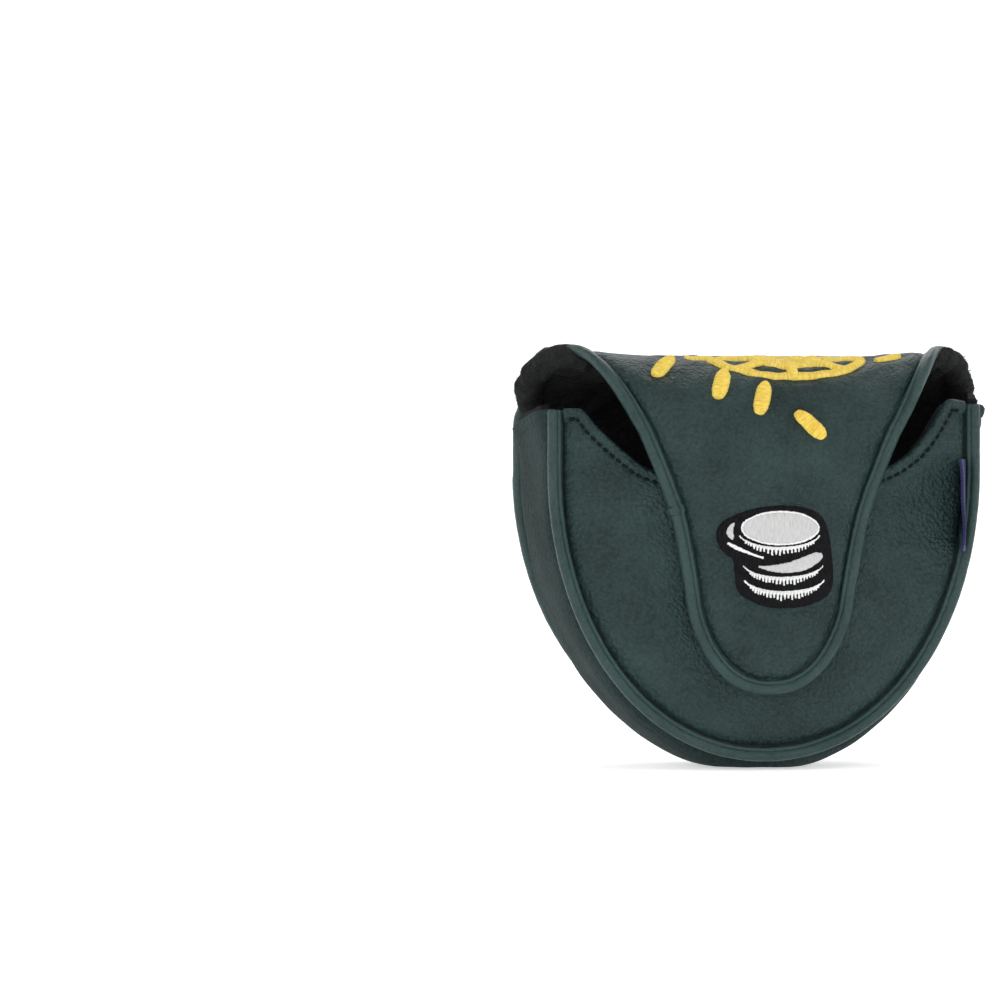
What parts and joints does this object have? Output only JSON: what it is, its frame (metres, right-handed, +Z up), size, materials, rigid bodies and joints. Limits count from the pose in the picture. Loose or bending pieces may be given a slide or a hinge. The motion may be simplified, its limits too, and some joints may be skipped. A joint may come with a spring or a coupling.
{
  "type": "putter head cover",
  "caption": "Padded D-shaped leather cover for a mallet putter head, with a plush-lined pocket and a magnetic flap that folds over its top.",
  "frame": {"origin": "on the floor, under the middle of the cover's bounding box", "axes": "+Z up, standing on the bottom of the gusset; the front panel faces -Y and the flap faces +Y; +X along the fold of the flap"},
  "size_m": [0.1302, 0.0576, 0.114],
  "materials": {
    "green_leather": "dark green pebbled synthetic leather, soft sheen",
    "green_piping": "smooth dark green synthetic leather over cord",
    "black_plush": "black short-pile plush",
    "foam": "off-white foam padding, hidden",
    "cord": "cotton piping cord, hidden",
    "magnet_steel": "nickel-plated magnet, hidden",
    "green_thread": "dark green sewing thread",
    "navy_tag": "plain navy woven label",
    "black_thread": "black embroidery thread",
    "blue_thread": "blue embroidery thread",
    "red_thread": "red embroidery thread",
    "green_bright_thread": "bright green embroidery thread",
    "yellow_thread": "yellow embroidery thread",
    "grey_thread": "light grey embroidery thread"
  },
  "bodies": {
    "pocket": {"back_lining": "black_plush", "back_pad": "foam", "back_panel": "green_leather", "back_piping": "green_piping", "back_piping_core": "cord", "embroidery_bolt_left": "yellow_thread", "embroidery_bolt_right": "yellow_thread", "embroidery_flag": "blue_thread", "embroidery_grass": "green_bright_thread", "embroidery_ray_2": "yellow_thread", "embroidery_ray_3": "yellow_thread", "embroidery_tee": "red_thread", "front_lining": "black_plush", "front_pad": "foam", "front_panel": "green_leather", "front_piping": "green_piping", "front_piping_core": "cord", "gusset": "green_leather", "gusset_lining": "black_plush", "pocket_magnet": "magnet_steel", "side_tag": "navy_tag", "topstitch_left": "green_thread", "topstitch_right": "green_thread"},
    "bridge": {"bridge_lining": "black_plush", "bridge_pad": "foam", "bridge_panel": "green_leather", "bridge_piping_left": "green_piping", "bridge_piping_left_core": "cord", "bridge_piping_right": "green_piping", "bridge_piping_right_core": "cord", "embroidery_ray_1": "yellow_thread"},
    "flap": {"embroidery_disc_face": "grey_thread", "embroidery_disc_rim_1": "grey_thread", "embroidery_disc_rim_2": "grey_thread", "embroidery_patch": "black_thread", "embroidery_ray_4": "yellow_thread", "embroidery_ray_5": "yellow_thread", "embroidery_ray_6": "yellow_thread", "embroidery_ray_7": "yellow_thread", "embroidery_ray_8": "yellow_thread", "embroidery_sun": "yellow_thread", "flap_lining": "black_plush", "flap_magnet": "magnet_steel", "flap_pad": "foam", "flap_panel": "green_leather", "flap_piping": "green_piping", "flap_piping_core": "cord"}
  },
  "joints": [
    {"name": "bridge_fold", "type": "hinge", "parent": "pocket", "child": "bridge", "pos_m": [0, -0.0179, 0.1074], "axis": [1, 0, 0], "range_deg": [0, 90]},
    {"name": "flap_fold", "type": "hinge", "parent": "bridge", "child": "flap", "pos_m": [0, 0.00417, 0.11385], "axis": [1, 0, 0], "range_deg": [0, 90]}
  ]
}
